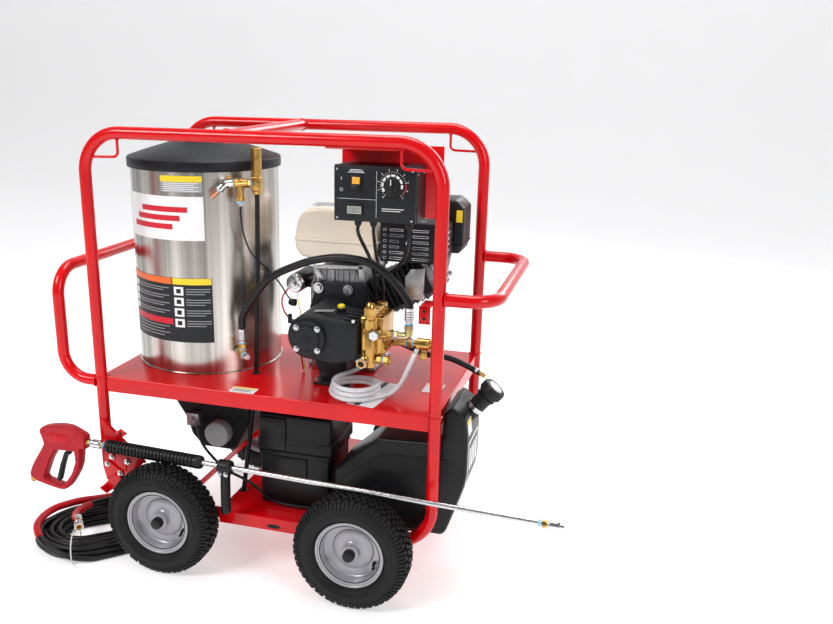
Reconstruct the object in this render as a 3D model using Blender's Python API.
"""Hot-water pressure washer on a four-wheeled tube frame, with its spray wand and hose.

Metres, +Z up. +X runs along the frame to the filler-neck end and -Y is the operator's side.
Every part is placed in frame coordinates, whose origin is on the floor below the frame's middle.
The empty "machine" shifts them, so that the whole object's footprint is centred on the origin.
"""

import math

import bmesh
import bpy
from mathutils import Matrix, Vector

# Driving dimensions
FOOTPRINT_SHIFT = -0.0518
GAP = 0.0003
TUBE_R = 0.0159
HALF_LENGTH = 0.472
HALF_WIDTH = 0.273
TOP_Z = 1.1764
TYRE_R = 0.155
TYRE_HALF = 0.0463
WHEEL_Y = 0.3497
WHEEL_X = {"left": -0.260, "right": 0.285}
AXLE_R = 0.008
HOOP_BEND = 0.105
SHEET = 0.003
DECK_Z = 0.516
DECK_FLANGE = 0.0425
TRAY_Z = TYRE_R + TUBE_R + GAP + SHEET
ROD_R = 0.0035
BARREL = Vector((-0.280, 0.0215, 0.0))
BARREL_R = 0.2065
BARREL_TOP = 1.087
SHAFT = Vector((0.122, 0.0, 0.672))
HOSE_R = 0.00825
WAND = Vector((-0.500, -0.3228, 0.33405))
WAND_DROP = 0.02147
WAND_YAW = -0.0155
LANCE_R = 0.0068
SIDES = 12


def finish(name, colour, roughness, metallic=0.0):
    """A Principled material with one colour, roughness and metallic value."""
    material = bpy.data.materials.new(name)
    material.use_nodes = True
    shader = material.node_tree.nodes["Principled BSDF"]
    shader.inputs["Base Color"].default_value = (*colour, 1.0)
    shader.inputs["Roughness"].default_value = roughness
    shader.inputs["Metallic"].default_value = metallic
    return material


def clear_scene():
    for old in list(bpy.data.objects):
        bpy.data.objects.remove(old)


def add(name, bm, material, origin=(0.0, 0.0, 0.0), parent=None):
    """Turns a bmesh in frame coordinates into an object whose own origin is at the given point."""
    bmesh.ops.recalc_face_normals(bm, faces=bm.faces)
    bmesh.ops.translate(bm, verts=bm.verts, vec=-Vector(origin))
    mesh = bpy.data.meshes.new(name)
    bm.to_mesh(mesh)
    bm.free()
    mesh.shade_smooth()
    mesh.set_sharp_from_angle(angle=math.radians(35))
    mesh.materials.append(material)
    obj = bpy.data.objects.new(name, mesh)
    bpy.context.scene.collection.objects.link(obj)
    obj.location = origin
    obj.parent = parent or MACHINE
    return obj


def empty(name, location, rotation=(0.0, 0.0, 0.0), parent=None):
    obj = bpy.data.objects.new(name, None)
    bpy.context.scene.collection.objects.link(obj)
    obj.location = location
    obj.rotation_euler = rotation
    obj.parent = parent
    return obj


def combine(target, tools, operation):
    """Joins or cuts the tools into the target, and keeps them as hidden helpers."""
    for tool in tools:
        modifier = target.modifiers.new(operation.lower(), "BOOLEAN")
        modifier.operation = operation
        modifier.object = tool
        tool.hide_render = True
        tool.display_type = "WIRE"
    return target


def box_mesh(low, high):
    bm = bmesh.new()
    bmesh.ops.create_cube(bm, size=1.0)
    size = Vector(high) - Vector(low)
    middle = (Vector(high) + Vector(low)) / 2
    for vert in bm.verts:
        vert.co = Vector((vert.co.x * size.x, vert.co.y * size.y, vert.co.z * size.z)) + middle
    return bm


def box(name, low, high, material, **place):
    return add(name, box_mesh(low, high), material, **place)


def prism(name, outline, low, high, material, **place):
    """An X-Z outline extruded from y = low to y = high."""
    bm = bmesh.new()
    rings = [[bm.verts.new((x, y, z)) for x, z in outline] for y in (low, high)]
    count = len(outline)
    for ring in rings:
        bm.faces.new(ring)
    for i in range(count):
        j = (i + 1) % count
        bm.faces.new((rings[0][i], rings[0][j], rings[1][j], rings[1][i]))
    return add(name, bm, material, **place)


def turning(direction):
    """The matrix that turns +Z to the given direction."""
    return Vector((0.0, 0.0, 1.0)).rotation_difference(Vector(direction).normalized()).to_matrix()


def turned(name, profile, foot, direction, material, sides=SIDES, ring=False, **place):
    """A profile of (radius, height) spun about the axis from foot; ring closes it on itself."""
    turn = turning(direction)
    bm = bmesh.new()
    rows = []
    for radius, height in profile:
        if radius <= 0.0:
            rows.append([bm.verts.new(turn @ Vector((0.0, 0.0, height)) + Vector(foot))])
            continue
        row = []
        for i in range(sides):
            angle = 2 * math.pi * (i + 0.5) / sides
            point = Vector((radius * math.cos(angle), radius * math.sin(angle), height))
            row.append(bm.verts.new(turn @ point + Vector(foot)))
        rows.append(row)
    pairs = list(zip(rows, rows[1:]))
    if ring:
        pairs.append((rows[-1], rows[0]))
    for first, second in pairs:
        for i in range(sides):
            j = (i + 1) % sides
            corners = [first[i % len(first)], first[j % len(first)]]
            corners += [second[j % len(second)], second[i % len(second)]]
            face = list(dict.fromkeys(corners))
            if len(face) > 2:
                bm.faces.new(face)
    return add(name, bm, material, **place)


def rod(name, start, end, radius, material, sides=SIDES, **place):
    """A plain round bar from start to end."""
    axis = Vector(end) - Vector(start)
    profile = [(0.0, 0.0), (radius, 0.0), (radius, axis.length), (0.0, axis.length)]
    return turned(name, profile, start, axis, material, sides, **place)


def filleted(corners, radius, steps=5, closed=False):
    """The points of straight runs whose corners are rounded to the radius."""
    corners = [Vector(corner) for corner in corners]
    count = len(corners)
    points = []
    for i, corner in enumerate(corners):
        if not closed and i in (0, count - 1):
            points.append(corner)
            continue
        back = (corners[i - 1] - corner).normalized()
        ahead = (corners[(i + 1) % count] - corner).normalized()
        half = back.angle(ahead) / 2
        centre = corner + (back + ahead).normalized() * radius / math.sin(half)
        start = corner + back * radius / math.tan(half) - centre
        finish_at = corner + ahead * radius / math.tan(half) - centre
        span = start.angle(finish_at)
        for k in range(steps + 1):
            share = k / steps
            weight_a = math.sin((1 - share) * span) / math.sin(span)
            weight_b = math.sin(share * span) / math.sin(span)
            points.append(centre + start * weight_a + finish_at * weight_b)
    return points


def sweep(name, points, radius, material, sides=SIDES, closed=False, **place):
    """A round tube along the points, whose section turns with the path without twisting."""
    points = [Vector(point) for point in points]
    count = len(points)
    bm = bmesh.new()
    side = None
    rings = []
    for i, point in enumerate(points):
        before = points[i - 1] if closed or i else point
        after = points[(i + 1) % count] if closed or i < count - 1 else point
        along = (after - before).normalized()
        if side is None:
            side = along.orthogonal().normalized()
        side = (side - along * side.dot(along)).normalized()
        other = along.cross(side)
        ring = []
        for k in range(sides):
            angle = 2 * math.pi * (k + 0.5) / sides
            ring.append(bm.verts.new(point + (side * math.cos(angle) + other * math.sin(angle)) * radius))
        rings.append(ring)
    for i in range(count if closed else count - 1):
        first, second = rings[i], rings[(i + 1) % count]
        for k in range(sides):
            j = (k + 1) % sides
            bm.faces.new((first[k], first[j], second[j], second[k]))
    if not closed:
        bm.faces.new(rings[0])
        bm.faces.new(rings[-1])
    return add(name, bm, material, **place)


def smooth_path(knots, spacing):
    """Points read every spacing or so from a smooth curve through the knots."""
    knots = [Vector(knot) for knot in knots]
    knots = [2 * knots[0] - knots[1]] + knots + [2 * knots[-1] - knots[-2]]
    points = []
    for i in range(1, len(knots) - 2):
        a, b, c, d = knots[i - 1 : i + 3]
        pieces = max(2, round((c - b).length / spacing))
        for k in range(pieces):
            t = k / pieces
            points.append(
                0.5
                * (
                    2 * b
                    + (c - a) * t
                    + (2 * a - 5 * b + 4 * c - d) * t**2
                    + (3 * b - a - 3 * c + d) * t**3
                )
            )
    points.append(knots[-2])
    return points


def cord(name, knots, radius, material, spacing):
    """A cord: a filled round curve along a smooth path through the knots."""
    curve = bpy.data.curves.new(name, "CURVE")
    curve.dimensions = "3D"
    curve.bevel_depth = radius
    curve.bevel_resolution = 2
    curve.use_fill_caps = True
    points = smooth_path(knots, spacing)
    spline = curve.splines.new("POLY")
    spline.points.add(len(points) - 1)
    for point, place in zip(spline.points, points):
        point.co = (*place, 1.0)
    curve.materials.append(material)
    obj = bpy.data.objects.new(name, curve)
    bpy.context.scene.collection.objects.link(obj)
    obj.parent = MACHINE
    return obj


# Frame


def hoop(name, y):
    """One side of the frame: a closed tube hoop with a bent rod in each top corner and axle holes."""
    low, high = TYRE_R, TOP_Z
    corners = [(-HALF_LENGTH, y, low), (HALF_LENGTH, y, low), (HALF_LENGTH, y, high),
        (-HALF_LENGTH, y, high)]
    obj = sweep(name, filleted(corners, HOOP_BEND, closed=True), TUBE_R, RED, closed=True)
    rods = []
    for side in (-1, 1):
        path = [(side * 0.372, y, high - 0.008), (side * 0.372, y, 1.116), (side * 0.456, y, 1.114)]
        rods.append(sweep(f"{name}_rod{side}", filleted(path, 0.012, steps=3), ROD_R, RED, sides=6))
    combine(obj, rods, "UNION")
    holes = [
        rod(f"{name}_{end}_hole", (x, y - 0.03, TYRE_R), (x, y + 0.03, TYRE_R), AXLE_R + 0.0005, RED)
        for end, x in WHEEL_X.items()
    ]
    return combine(obj, holes, "DIFFERENCE")


def frame_tubes():
    front = hoop("front_hoop", -HALF_WIDTH)
    hoop("back_hoop", HALF_WIDTH)
    cross = rod("cross_tube", (-0.075, -HALF_WIDTH, TOP_Z), (-0.075, HALF_WIDTH - TUBE_R - GAP, TOP_Z),
        TUBE_R, RED)
    combine(front, [cross], "UNION")
    end = HALF_LENGTH + TUBE_R + GAP
    left = [(-end, -HALF_WIDTH, 0.503), (-0.588, -HALF_WIDTH, 0.503), (-0.588, -HALF_WIDTH, 0.809)]
    left += [(x, -y, z) for x, y, z in reversed(left)]
    sweep("left_handle", filleted(left, 0.075), TUBE_R, RED)
    right = [(end, -HALF_WIDTH, 0.815), (0.608, -HALF_WIDTH, 0.815)]
    right += [(x, -y, z) for x, y, z in reversed(right)]
    sweep("right_handle", filleted(right, 0.070), TUBE_R, RED)


def deck():
    """The folded deck: a sheet with a flange down each side, notched round the four uprights."""
    x, y = HALF_LENGTH + 0.006, HALF_WIDTH + 0.0015
    obj = box("deck", (-x, -y, DECK_Z - DECK_FLANGE), (x, y, DECK_Z), RED)
    inside = (x - SHEET, y - SHEET)
    cutters = [
        box("deck_inside", (-inside[0], -inside[1], 0.40), (*inside, DECK_Z - SHEET), RED),
        rod("deck_flue", (*BARREL.xy, 0.45), (*BARREL.xy, 0.55), 0.075, RED, sides=24),
        rod("deck_drain", (-0.0770, -0.115, 0.50), (-0.0770, -0.115, 0.53), 0.0085, RED),
    ]
    reach = TUBE_R + GAP
    for sx in (-1, 1):
        for sy in (-1, 1):
            inner = Vector((sx * (HALF_LENGTH - reach), sy * (HALF_WIDTH - reach)))
            outer = Vector((sx * 0.52, sy * 0.32))
            low = (min(inner.x, outer.x), min(inner.y, outer.y), 0.40)
            high = (max(inner.x, outer.x), max(inner.y, outer.y), 0.60)
            cutters.append(box(f"deck_notch{sx}{sy}", low, high, RED))
    combine(obj, cutters, "DIFFERENCE")


def tray():
    """The lower tray rests on both hoops, with lips folded down outside them."""
    y = HALF_WIDTH + TUBE_R + GAP
    under = TRAY_Z - SHEET
    obj = box("lower_tray", (-0.119, -y - SHEET, 0.136), (0.360, y + SHEET, TRAY_Z), RED)
    hollow = box("tray_inside", (-0.2, -y, 0.10), (0.4, y, under), RED)
    slot = box("tray_slot", (0.028, -0.32, 0.143), (0.056, -0.28, 0.154), RED)
    axle_slot = box("tray_axle_slot", (0.275, -0.32, 0.12), (0.295, 0.32, TYRE_R + 0.010), RED)
    combine(obj, [hollow, slot, axle_slot], "DIFFERENCE")
    tongue = box("tray_tongue", (0.350, -0.240, under), (0.452, 0.240, TRAY_Z), RED)
    combine(obj, [tongue], "UNION")


# Wheels and brake


def wheel(end, side, x, sign):
    """A pneumatic tyre on a pressed rim. Heights run outwards from the wheel's middle plane."""
    corner = f"{side}_{end}"
    centre = (x, sign * WHEEL_Y, TYRE_R)
    outward = (0.0, sign, 0.0)
    half = [(0.0778, 0.0277), (0.0922, 0.0297), (0.0955, 0.0390), (0.118, TYRE_HALF), (0.142, 0.0405),
        (TYRE_R, 0.027)]
    tread = half + [(radius, -height) for radius, height in reversed(half)]
    turned(f"tyre_{corner}", tread, centre, outward, RUBBER, 24, ring=True, origin=centre)
    flange = [(0.0915, 0.0333), (0.0915, 0.0305), (0.077, 0.0285)]
    barrel = flange + [(radius, -height) for radius, height in reversed(flange)]
    dish = [(0.074, -0.030), (0.0715, 0.000), (0.024, -0.006), (0.021, -0.036), (0.0085, -0.036)]
    face = [(0.0085, 0.024), (0.021, 0.024), (0.024, -0.002), (0.0715, 0.006), (0.074, 0.030)]
    turned(f"rim_{corner}", barrel + dish + face, centre, outward, RIM_PAINT, 24, ring=True, origin=centre)


def axle(end, x):
    """A plain axle with a collar and a push-on cap outside each hub."""
    reach = WHEEL_Y + 0.0245
    profile = [(0.0, -reach - 0.021), (0.0145, -reach - 0.021), (0.0145, -reach), (AXLE_R, -reach)]
    profile += [(radius, -height) for radius, height in reversed(profile)]
    turned(f"axle_{end}", profile, (x, 0.0, TYRE_R), (0.0, 1.0, 0.0), RED)


def brake():
    """A parking brake on the front left wheel: a foot pedal whose pin is pressed on the tread."""
    face = -HALF_WIDTH - TUBE_R - GAP
    outline = [(-0.487, 0.385), (-0.457, 0.385), (-0.352, 0.282), (-0.352, 0.262), (-0.420, 0.214),
        (-0.487, 0.240)]
    bracket = prism("brake_bracket", outline, face - 0.004, face, RED)
    pad = box("brake_stop", (-0.432, face - 0.0165, 0.336), (-0.400, face - 0.003, 0.362), RED)
    pivot = rod("brake_pin", (-0.4335, face - 0.0105, 0.229), (-0.4335, face - 0.001, 0.229), 0.004, STEEL)
    combine(bracket, [pad, pivot], "UNION")
    arm = [(-0.490, 0.190), (-0.480, 0.179), (-0.423, 0.200), (-0.413, 0.206)]
    arm += [(-0.420, 0.217), (-0.427, 0.238), (-0.440, 0.238)]
    pedal_at = (-0.4335, face - 0.007, 0.229)
    pedal = prism("brake_pedal", arm, face - 0.0090, face - 0.0050, RED, origin=pedal_at)
    hole = rod("pedal_hole", (-0.4335, face - 0.02, 0.229), (-0.4335, face, 0.229), 0.0043, RED)
    combine(pedal, [hole], "DIFFERENCE")
    shoe = rod("pedal_shoe", (-0.4185, face - 0.045, 0.2065), (-0.4185, face - 0.007, 0.2065), 0.0045,
        STEEL)
    lip = [(-0.492, 0.188), (-0.481, 0.176), (-0.477, 0.180), (-0.488, 0.192)]
    tread = prism("pedal_tread", lip, face - 0.030, face - 0.006, RED)
    combine(pedal, [shoe, tread], "UNION")


def wheels():
    for end, x in WHEEL_X.items():
        axle(end, x)
        for side, sign in (("front", -1), ("back", 1)):
            wheel(end, side, x, sign)


# Control


def control():
    """The switch box in front of its red hanging panel, with the switch, the dial and the cables."""
    back = -0.1445
    top = TOP_Z - TUBE_R - 0.0005
    panel = box("control_panel", (0.186, back - SHEET, 0.985), (0.445, back, top), RED)
    ledge = box("panel_ledge", (0.186, -0.279, top - SHEET), (0.364, back - 0.001, top), RED)
    combine(panel, [ledge], "UNION")
    face = -0.250
    housing = box("control_box", (0.200, face, 0.985), (0.402, back - SHEET - GAP, 1.117), BLACK_PAINT)
    glands = [rod(f"gland{i}", (x, -0.175, 0.962), (x, -0.175, 0.990), 0.0105, BLACK) for i,
        x in enumerate((0.238, 0.278))]
    combine(housing, glands, "UNION")
    pocket = box("switch_pocket", (0.2410, face - 0.01, 1.0490), (0.2710, face + 0.0160, 1.0950), BLACK)
    combine(housing, [pocket], "DIFFERENCE")
    switch_at = (0.256, face + 0.0035, 1.072)
    switch = box("rocker_switch", (0.2445, face - 0.006, 1.0525), (0.2675, face + 0.0095, 1.0915), BLACK,
        origin=switch_at)
    switch.rotation_euler = (math.radians(-8), 0.0, 0.0)
    knob = [(0.0, 0.0), (0.0283, 0.0), (0.0283, 0.006), (0.019, 0.009), (0.017, 0.018), (0.0, 0.018)]
    foot = (0.3467, face - GAP, 1.075)
    turned("temperature_knob", knob, foot, (0.0, -1.0, 0.0), BLACK, 20, origin=foot)
    plug = box("control_cables", (0.250, -0.100, 0.800), (0.286, -0.078, 0.832), BLACK)
    runs = []
    for i, (x, low) in enumerate(((0.238, 0.256), (0.278, 0.276))):
        path = [(x, -0.175, 0.9605), (x, -0.172, 0.940), (low, -0.135, 0.875), (low, -0.089, 0.822)]
        runs.append(sweep(f"cable_run{i}", smooth_path(path, 0.02), 0.0045, BLACK, sides=8))
    combine(plug, runs, "UNION")


# Heater


def heater():
    """The fired coil: a steel barrel with a domed lid, a water coil inside and the burner below."""
    low = DECK_Z + GAP
    wall = [(BARREL_R, low), (BARREL_R, BARREL_TOP), (BARREL_R - 0.003, BARREL_TOP),
        (BARREL_R - 0.003, low)]
    turned("heater_barrel", wall, BARREL, (0, 0, 1), BRUSHED_STEEL, 40, ring=True)
    lid = [(0.2145, 1.074), (0.2145, 1.099), (0.062, 1.147), (0.062, 1.162), (0.055, 1.162),
        (0.055, 1.1445)]
    lid += [(0.2080, 1.0962), (0.2080, 1.074)]
    turned("heater_lid", lid, BARREL, (0, 0, 1), BLACK_PAINT, 40, ring=True)
    turns, steps, radius = 6, 12, 0.165
    helix = []
    for i in range(turns * steps + 1):
        angle = 2 * math.pi * i / steps
        rise = 0.62 + 0.40 * i / (turns * steps)
        helix.append(BARREL + Vector((radius * math.cos(angle), radius * math.sin(angle), rise)))
    sweep("heater_coil", helix, 0.0095, STEEL, sides=6)
    outline = [(-0.335, 0.5127), (-0.335, 0.405), (-0.300, 0.352), (-0.288, 0.308), (-0.255, 0.271)]
    outline += [(-0.150, 0.271), (-0.098, 0.375), (-0.098, 0.5127)]
    housing = prism("burner_housing", outline, -0.120, 0.140, BLACK)
    motor = rod("burner_motor", (-0.191, -0.155, 0.328), (-0.191, -0.100, 0.328), 0.037, BLACK, sides=20)
    tube = rod("blast_tube", (*BARREL.xy, 0.45), (*BARREL.xy, 0.560), 0.060, STEEL, sides=20)
    combine(housing, [motor, tube], "UNION")


def heater_fittings():
    """The brass relief valve and tee at the top, the inlet elbow at the bottom and both hoses."""
    valve_at, tee_at, elbow_at = Vector((-0.0612, -0.1150)), Vector((-0.0955, -0.1452)), Vector((-0.1254,
        -0.1715))
    y, z = valve_at.y, 1.047
    stem = [(0.0, 1.018), (0.0110, 1.018), (0.0145, 1.026), (0.0145, 1.062), (0.0120, 1.064),
        (0.0120, 1.1385), (0.0, 1.1385)]
    valve = turned("relief_valve", stem, (*valve_at, 0.0), (0, 0, 1), BRASS)
    near = tee_at + (BARREL.xy - tee_at).normalized() * 0.0415
    barb = [(*(elbow_at * 0.8 + tee_at * 0.2), z), (*elbow_at, z - 0.002), (-0.1557, -0.190, z - 0.032)]
    parts = [
        rod("tee_run", (*elbow_at, z), (*valve_at, z), 0.0085, BRASS),
        rod("tee_leg", (*tee_at, 1.000), (*tee_at, 1.059), 0.0105, BRASS),
        rod("tee_branch", (*tee_at, z), (*near, z), 0.0070, BRASS),
        sweep("outlet_barb", barb, 0.0075, BRASS),
    ]
    combine(valve, parts, "UNION")
    drain = [(*valve_at, 1.0174), (-0.0613, y, 0.98), (-0.0655, y, 0.80), (-0.0740, y, 0.60),
        (-0.0770, y, 0.516)]
    drain += [(-0.0790, -0.1190, 0.48), (-0.0915, -0.1420, 0.32), (-0.1040, -0.1640, TRAY_Z + 0.0030)]
    sweep("drain_hose", smooth_path(drain, 0.06), 0.0065, BLACK, sides=8)
    column = [(0.0, 0.570), (0.0105, 0.570), (0.0105, 0.612), (0.0085, 0.616), (0.0120, 0.622),
        (0.0120, 0.6545), (0.0, 0.6545)]
    foot = Vector((-0.0995, -0.1515))
    elbow = turned("heater_inlet_elbow", column, (*foot, 0.0), (0, 0, 1), BRASS)
    inward = (BARREL.xy - foot).normalized()
    near = foot + inward * 0.0415
    branch = rod("inlet_branch", (*foot, 0.582), (*near, 0.582), 0.0090, BRASS)
    plug = rod("inlet_plug", (*foot, 0.582), (*(foot - inward * 0.034), 0.578), 0.0085, STEEL)
    combine(elbow, [branch, plug], "UNION")
    arc = [(-0.0995, -0.1515, 0.6549), (-0.0960, -0.1530, 0.690), (-0.0612, -0.165, 0.7413),
        (-0.0013, -0.180, 0.8097)]
    arc += [(0.0868, -0.190, 0.8553), (0.209, -0.200, 0.8827), (0.277, -0.200, 0.874),
        (0.3252, -0.200, 0.8448)]
    arc += [(0.361, -0.200, 0.807), (0.380, -0.200, 0.7785), (0.3819, -0.200, 0.7690)]
    sweep("discharge_hose", smooth_path(arc, 0.03), 0.0100, BLACK, sides=8)


# Engine


def engine():
    """A single-cylinder petrol engine, its cylinder leaning up to the right, shaft along Y."""
    lean = Vector((math.cos(math.radians(27)), math.sin(math.radians(27))))
    across = Vector((-lean.y, lean.x))
    centre = Vector((SHAFT.x, SHAFT.z))
    low_root = centre + lean * 0.10 - across * 0.055
    low_end = centre + lean * 0.30 - across * 0.055
    high_end = centre + lean * 0.30 + across * 0.042
    high_root = centre + lean * 0.10 + across * 0.042
    base = DECK_Z + GAP
    outline = [(0.045, base), (0.225, base), (0.225, 0.600), low_root, low_end, high_end, high_root]
    outline += [(0.170, 0.815), (0.075, 0.815), (0.045, 0.760)]
    block = prism("engine_block", outline, -0.010, 0.170, CAST)
    cowl = rod("recoil_cowl", (SHAFT.x, 0.160, 0.690), (SHAFT.x, 0.235, 0.690), 0.118, BLACK, sides=24)
    motor = [(0.0, 0.0), (0.025, 0.0), (0.027, 0.004), (0.027, 0.130), (0.0, 0.130)]
    starter = turned("starter_motor", motor, (0.0023, -0.020, 0.758), (0, 1, 0), STEEL, 18)
    lug = box("starter_lug", (0.020, 0.020, 0.742), (0.060, 0.090, 0.768), CAST)
    cover_ends = [centre + lean * 0.29 - across * 0.045, centre + lean * 0.332 - across * 0.045]
    cover_ends += [centre + lean * 0.332 + across * 0.024, centre + lean * 0.29 + across * 0.024]
    cover = prism("head_cover", cover_ends, 0.010, 0.110, CAST)
    combine(block, [cowl, starter, lug, cover], "UNION")
    tank = [(0.026, 0.848), (0.060, 0.839), (0.215, 0.839), (0.244, 0.848), (0.252, 0.893),
        (0.240, 0.955), (0.205, 0.980)]
    tank += [(0.060, 0.980), (0.028, 0.955), (0.012, 0.893)]
    prism("engine_tank", tank, -0.045, 0.190, CREAM)
    cap_at = (0.165, 0.085, 0.980 + GAP)
    cap = [(0.0, 0.0), (0.034, 0.0), (0.034, 0.018), (0.028, 0.024), (0.0, 0.024)]
    turned("engine_tank_cap", cap, cap_at, (0, 0, 1), BLACK, 16, origin=cap_at)
    guard = [(0.256, 0.8465), (0.424, 0.8465), (0.424, 0.936), (0.406, 0.955), (0.256, 0.955)]
    prism("muffler_guard", guard, -0.045, 0.100, BLACK)
    cleaner = [(0.336, 0.8465), (0.440, 0.8465), (0.448, 0.875), (0.448, 0.972), (0.424, 0.995)]
    cleaner += [(0.348, 0.995), (0.336, 0.983)]
    prism("air_cleaner", cleaner, 0.120, 0.235, BLACK)
    grip = [(0.075, 0.752), (0.127, 0.752), (0.131, 0.760), (0.127, 0.768), (0.075, 0.768), (0.071, 0.760)]
    prism("recoil_handle", grip, 0.2365, 0.2530, BLACK, origin=(0.101, 0.2365, 0.760))


# Pump


def pump():
    """The triplex pump flanged to the engine, its brass head to the right and its fittings."""
    outline = []
    for i in range(9):
        angle = math.radians(75 + 30 * i * 210 / 240)
        outline.append((SHAFT.x + 0.060 * math.cos(angle), SHAFT.z + 0.060 * math.sin(angle)))
    outline += [(0.190, 0.606), (0.252, 0.622), (0.252, 0.714), (0.205, 0.722)]
    case = prism("pump_crankcase", outline, -0.225, -0.070, BLACK)
    foot = [(0.090, 0.630), (0.126, DECK_Z + GAP), (0.190, DECK_Z + GAP), (0.200, 0.630)]
    flange = [(0.052, 0.600), (0.200, 0.600), (0.230, 0.700), (0.228, 0.734), (0.219, 0.761)]
    flange += [(0.205, 0.777), (0.095, 0.774), (0.072, 0.763), (0.052, 0.700)]
    parts = [
        rod("bearing_cover", (SHAFT.x, -0.245, SHAFT.z), (SHAFT.x, -0.220, SHAFT.z), 0.047, BLACK,
            sides=20),
        prism("flange_plate", flange, -0.030, -0.0105, BLACK),
        rod("bell_housing", (SHAFT.x, -0.080, SHAFT.z), (SHAFT.x, -0.020, SHAFT.z), 0.055, BLACK, sides=16),
        prism("pump_foot", foot, -0.135, -0.075, BLACK),
    ]
    combine(case, parts, "UNION")
    cap_at = (0.186, -0.150, 0.7275)
    cap = [(0.0, 0.0), (0.0125, 0.0), (0.0125, 0.020), (0.0, 0.020)]
    turned("oil_cap", cap, cap_at, (0, 0, 1), YELLOW, origin=cap_at)


def pump_head():
    """The brass head: three valve caps on top, the unloader in front and the outlet elbow."""
    head = box("pump_manifold", (0.2525, -0.200, 0.628), (0.312, -0.085, 0.733), BRASS)
    unloader = [(0.0, 0.606), (0.0145, 0.606), (0.0145, 0.738), (0.0155, 0.746), (0.0155, 0.770)]
    unloader += [(0.008, 0.777), (0.0, 0.777)]
    bend = [(0.345, -0.2, 0.693), (0.3819, -0.2, 0.693), (0.3819, -0.2, 0.735)]
    parts = [turned("unloader", unloader, (0.281, -0.212, 0.0), (0, 0, 1), BRASS)]
    for i in range(3):
        y = -0.178 + 0.037 * i
        parts.append(rod(f"top_cap{i}", (0.284, y, 0.725), (0.284, y, 0.754), 0.0125, BRASS, sides=6))
        parts.append(rod(f"side_cap{i}", (0.300, y, 0.660), (0.326, y, 0.660), 0.0120, BRASS, sides=6))
    parts += [
        rod("outlet", (0.281, -0.205, 0.693), (0.356, -0.2005, 0.693), 0.0125, BRASS),
        sweep("outlet_elbow", filleted(bend, 0.012, steps=3), 0.0105, BRASS),
        rod("ferrule", (0.3819, -0.2, 0.728), (0.3819, -0.2, 0.7686), 0.0128, STEEL),
        rod("inlet_plug_hex", (0.268, -0.238, 0.620), (0.268, -0.190, 0.632), 0.0165, STEEL, sides=6),
        rod("hex_plug", (0.286, -0.240, 0.690), (0.286, -0.205, 0.690), 0.0105, STEEL, sides=6),
    ]
    combine(head, parts, "UNION")
    body = [(0.0, 0.0), (0.0095, 0.0), (0.0095, 0.062), (0.0165, 0.066), (0.0165, 0.098)]
    body += [(0.0105, 0.102), (0.0105, 0.112), (0.0, 0.112)]
    inlet = turned("inlet_valve", body, (0.3125 + 0.0138, -0.148, 0.660), (1, 0, 0), BRASS)
    neck = rod("valve_neck", (0.408, -0.148, 0.642), (0.408, -0.148, 0.655), 0.0080, BRASS)
    spout = rod("valve_spout", (0.396, -0.163, 0.652), (0.400, -0.148, 0.662), 0.0065, BRASS)
    combine(inlet, [neck, spout], "UNION")
    wing_at = (0.408, -0.148, 0.6415)
    outline = [(0.400, 0.6415), (0.416, 0.6415), (0.419, 0.622), (0.408, 0.616), (0.397, 0.622)]
    prism("inlet_wing", outline, -0.152, -0.144, BRASS, origin=wing_at)


def loose_lines():
    """The detergent tube coiled on the deck and the short water hose."""
    top = DECK_Z + GAP
    profile = [(0.036, 0.0), (0.070, 0.0), (0.070, 0.0240), (0.036, 0.0240)]
    turned("detergent_coil", profile, (0.236, -0.190, top), (0, 0, 1), CLEAR, 24, ring=True)
    run = [(0.3105, -0.2000, top + 0.0065), (0.3300, -0.1880, top + 0.0120),
        (0.3560, -0.1780, top + 0.0400)]
    run += [(0.3770, -0.1790, top + 0.0850), (0.3890, -0.1770, 0.6330), (0.3952, -0.1655, 0.6495)]
    cord("detergent_tube", run, 0.006, CLEAR, 0.02)
    lead = [(0.1920, -0.2080, top + 0.0306), (0.2120, -0.2040, top + 0.0335),
        (0.2380, -0.1960, top + 0.0480)]
    lead += [(0.2680, -0.1800, top + 0.0750), (0.2900, -0.1660, top + 0.0980),
        (0.2930, -0.1640, top + 0.1112)]
    cord("detergent_lead", lead, 0.006, CLEAR, 0.02)
    hose = [(0.3128, -0.092, 0.6400), (0.3350, -0.091, 0.6385), (0.3650, -0.088, 0.6270)]
    hose += [(0.4050, -0.082, 0.6130), (0.4600, -0.074, 0.6060), (0.5050, -0.066, 0.5880),
        (0.5400, -0.060, 0.5690)]
    cord("water_hose", hose, 0.0078, BLACK, 0.02)


# Battery and fuel


def battery():
    """A battery in its two-piece box on the tray; the lid sits over the rim of the box."""
    low = TRAY_Z + GAP
    tub = box("battery_box", (-0.028, -0.209, low), (0.172, -0.036, 0.356), BLACK)
    combine(tub, [box("tub_inside", (-0.024, -0.205, low + 0.004), (0.168, -0.040, 0.38), BLACK)],
        "DIFFERENCE")
    box("battery", (-0.020, -0.201, low + 0.0045), (0.164, -0.044, 0.340), GREY)
    lid = box("battery_lid", (-0.034, -0.215, 0.335), (0.182, -0.030, 0.446), BLACK)
    rim = box("lid_rim", (-0.030, -0.211, 0.32), (0.178, -0.034, 0.3563), BLACK)
    room = box("lid_room", (-0.022, -0.203, 0.34), (0.170, -0.042, 0.442), BLACK)
    combine(lid, [rim, room], "DIFFERENCE")


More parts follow.
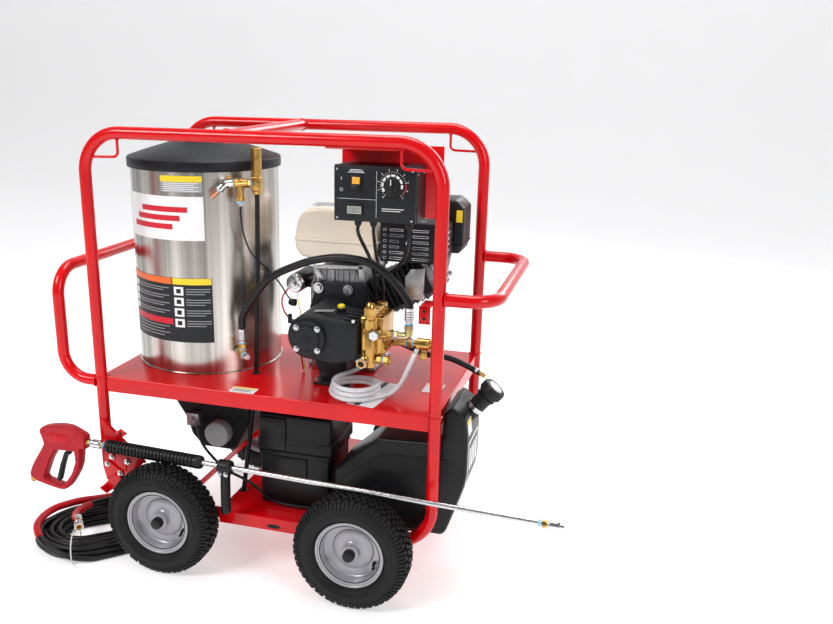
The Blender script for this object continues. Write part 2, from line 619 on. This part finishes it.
def fuel():
    """The moulded fuel tank: it bulges out past the deck, where its filler neck rises."""
    outline = [(0.199, TRAY_Z + GAP), (0.492, TRAY_Z + GAP), (0.503, 0.186), (0.546, 0.320), (0.551, 0.350)]
    outline += [(0.551, 0.446), (0.543, 0.505), (0.508, 0.5335), (0.487, 0.515), (0.484, 0.455),
        (0.445, 0.430)]
    outline += [(0.317, 0.425), (0.199, 0.318)]
    tank = prism("fuel_tank", outline, -0.245, -0.072, BLACK)
    along = Vector((math.cos(math.radians(50)), 0.0, math.sin(math.radians(50))))
    base = Vector((0.5285, -0.150, 0.4811))
    neck = rod("filler_neck", base, base + along * 0.085, 0.0225, BLACK, sides=16)
    combine(tank, [neck], "UNION")
    cap_at = base + along * (0.085 + GAP)
    cap = [(0.0, 0.0), (0.029, 0.0), (0.031, 0.004), (0.031, 0.022), (0.027, 0.027), (0.0, 0.027)]
    turned("fuel_cap", cap, cap_at, along, BLACK, 18, origin=cap_at)


# Spray wand


def gun(wand):
    """The gun's body round its trigger loop, drawn beside the axis of the lance."""
    outline = [(0.0, 0.020), (-0.010, 0.026), (-0.051, 0.0415), (-0.0966, 0.039), (-0.141, 0.027),
        (-0.147, 0.012)]
    outline += [(-0.137, -0.022), (-0.160, -0.060), (-0.183, -0.101), (-0.192, -0.127), (-0.170, -0.143)]
    outline += [(-0.088, -0.156), (-0.070, -0.150), (-0.045, -0.118), (-0.023, -0.0715), (-0.017, -0.020),
        (0.0, -0.0165)]
    body = prism("gun_body", outline, -0.0165, 0.0165, RED_PLASTIC, parent=wand)
    loop = [(-0.0379, -0.030), (-0.0979, -0.034), (-0.1217, -0.0721), (-0.1442, -0.1258),
        (-0.0926, -0.1422)]
    loop += [(-0.0750, -0.134), (-0.050, -0.098), (-0.036, -0.060)]
    hole = prism("gun_loop", loop, -0.03, 0.03, RED_PLASTIC, parent=wand)
    socket = rod("gun_inlet", (-0.181, 0.0, -0.128), (-0.194, 0.0, -0.150), 0.0085, BRASS, parent=wand)
    profile = [(0.0, -0.010), (0.0085, -0.010), (0.0085, 0.016), (0.0125, 0.019), (0.0125, 0.044)]
    profile += [(0.0090, 0.047), (0.0090, 0.058), (0.0, 0.058)]
    coupling = turned("gun_coupling", profile, (0.0, 0.0, 0.0), (1.0, 0.0, 0.0), BRASS, parent=wand)
    combine(body, [hole], "DIFFERENCE")
    combine(body, [socket, coupling], "UNION")
    pivot = (-0.066, 0.0, -0.040)
    lever = [(-0.058, -0.0365), (-0.074, -0.0385), (-0.0905, -0.080), (-0.105, -0.128)]
    lever += [(-0.096, -0.134), (-0.0815, -0.085), (-0.070, -0.052), (-0.058, -0.046)]
    prism("gun_trigger", lever, -0.010, 0.010, BLACK, origin=pivot, parent=wand)


def lance(wand):
    """The steel lance with its ribbed grip, nozzle and swinging side handle."""
    x = (1.0, 0.0, 0.0)
    rod("lance", (0.0583, 0.0, 0.0), (1.2557, 0.0, 0.0), LANCE_R, STEEL, parent=wand)
    profile = [(0.0, 1.256), (0.0085, 1.256), (0.0085, 1.270), (0.0120, 1.272), (0.0120, 1.298)]
    profile += [(0.0075, 1.301), (0.0075, 1.308), (0.0, 1.308)]
    turned("lance_nozzle", profile, (0.0, 0.0, 0.0), x, STEEL, parent=wand)
    inner, outer = LANCE_R + GAP, 0.0185
    sleeve = [(inner, 0.062), (outer, 0.062), (outer, 0.354), (inner, 0.354)]
    turned("lance_grip", sleeve, (0.0, 0.0, 0.0), x, RUBBER, ring=True, parent=wand)
    clamp = [(inner, 0.404), (0.0190, 0.404), (0.0190, 0.442), (inner, 0.442)]
    side = turned("side_handle", clamp, (0.0, 0.0, 0.0), x, BLACK, ring=True, parent=wand)
    grip = rod("side_grip", (0.423, 0.0, -0.0120), (0.423, 0.0, -0.135), 0.0135, BLACK, parent=wand)
    combine(side, [grip], "UNION")


# Hose


def stadium(half_straight, radius, steps=8):
    """An outline of two half circles and two straights, long along +X."""
    points = []
    for side in (1, -1):
        for i in range(steps + 1):
            angle = math.pi * i / steps - math.pi / 2
            points.append((side * (half_straight + radius * math.cos(angle)),
                side * radius * math.sin(angle)))
    return points


def hose():
    """The high-pressure hose: its coil on the floor and one loose end with its coupling."""
    centre, angle, height = Vector((-0.498, -0.216)), math.radians(40), 0.0835
    bm = bmesh.new()
    walls = []
    for radius in (0.133, 0.064):
        outline = stadium(0.089, radius)
        for z in (0.0, height):
            ring = []
            for px, py in outline:
                x = centre.x + px * math.cos(angle) - py * math.sin(angle)
                y = centre.y + px * math.sin(angle) + py * math.cos(angle)
                ring.append(bm.verts.new((x, y, z)))
            walls.append(ring)
    outer_low, outer_high, inner_low, inner_high = walls
    pairs = ((outer_low, outer_high), (inner_high, inner_low), (outer_high, inner_high),
        (inner_low, outer_low))
    for first, second in pairs:
        count = len(first)
        for i in range(count):
            j = (i + 1) % count
            bm.faces.new((first[i], first[j], second[j], second[i]))
    add("hose_coil", bm, RUBBER)
    end = [(-0.520, -0.140, height + 0.0088), (-0.570, -0.165, height + 0.010),
        (-0.600, -0.210, height + 0.012)]
    end += [(-0.598, -0.265, height + 0.013), (-0.566, -0.315, height + 0.014),
        (-0.533, -0.350, height + 0.0145)]
    cord("hose_end", end, HOSE_R, RUBBER, 0.02)
    aim = Vector((0.030, -0.042, 0.0)).normalized()
    coupling = [(0.0, 0.0), (0.0095, 0.0), (0.0095, 0.014), (0.0130, 0.018), (0.0130, 0.036), (0.0, 0.036)]
    turned("hose_coupler", coupling, Vector(end[-1]) + aim * 0.0018, aim, BRASS)


clear_scene()
MACHINE = empty("machine", (FOOTPRINT_SHIFT, 0.0, 0.0))
RED = finish("frame_red", (0.62, 0.02, 0.02), 0.28)
RED_PLASTIC = finish("gun_red", (0.55, 0.04, 0.05), 0.45)
RIM_PAINT = finish("rim_silver", (0.62, 0.62, 0.65), 0.35, 0.3)
RUBBER = finish("rubber_black", (0.02, 0.02, 0.02), 0.8)
BLACK = finish("plastic_black", (0.025, 0.025, 0.028), 0.5)
BLACK_PAINT = finish("paint_black", (0.03, 0.03, 0.035), 0.45)
GREY = finish("battery_grey", (0.25, 0.25, 0.26), 0.6)
STEEL = finish("plated_steel", (0.70, 0.70, 0.70), 0.3, 1.0)
BRUSHED_STEEL = finish("brushed_steel", (0.66, 0.63, 0.58), 0.35, 1.0)
BRASS = finish("brass", (0.72, 0.50, 0.20), 0.3, 1.0)
CAST = finish("cast_aluminium", (0.45, 0.45, 0.46), 0.5, 1.0)
CREAM = finish("tank_cream", (0.78, 0.72, 0.58), 0.4)
YELLOW = finish("cap_yellow", (0.85, 0.65, 0.02), 0.5)
CLEAR = finish("clear_tube", (0.82, 0.84, 0.86), 0.25)

frame_tubes()
deck()
tray()
wheels()
brake()
control()
heater()
heater_fittings()
engine()
pump()
pump_head()
loose_lines()
battery()
fuel()
WAND_EMPTY = empty("wand_axis", WAND, (0.0, WAND_DROP, WAND_YAW), MACHINE)
gun(WAND_EMPTY)
lance(WAND_EMPTY)
hose()
